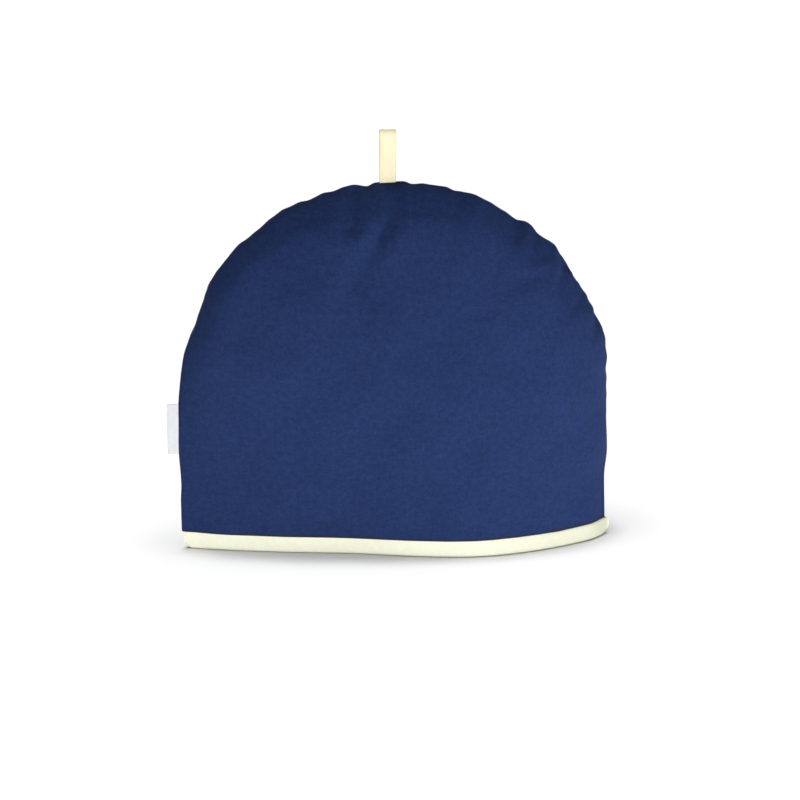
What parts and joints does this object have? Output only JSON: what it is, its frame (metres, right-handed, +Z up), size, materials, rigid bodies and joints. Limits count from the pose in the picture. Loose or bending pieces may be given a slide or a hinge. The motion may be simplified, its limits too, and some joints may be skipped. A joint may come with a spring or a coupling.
{
  "type": "tea cosy",
  "caption": "Padded dome-shaped tea cosy in navy cotton with a cream bound hem, a folded hanging loop and a blank side tab, standing open on its hem.",
  "frame": {"origin": "middle of the outer box, on the surface that the hem stands on", "axes": "+X to the right across the front panel, +Y from the front panel to the back panel, +Z up"},
  "size_m": [0.3202, 0.1102, 0.2998],
  "materials": {
    "panel_cloth": "matte",
    "binding_tape": "matte",
    "loop_tape": "matte",
    "label_ribbon": "satin"
  },
  "bodies": {
    "root": {"front_panel": "panel_cloth", "back_panel": "panel_cloth", "hem_binding": "binding_tape", "hang_loop": "loop_tape", "side_label": "label_ribbon"}
  },
  "joints": []
}
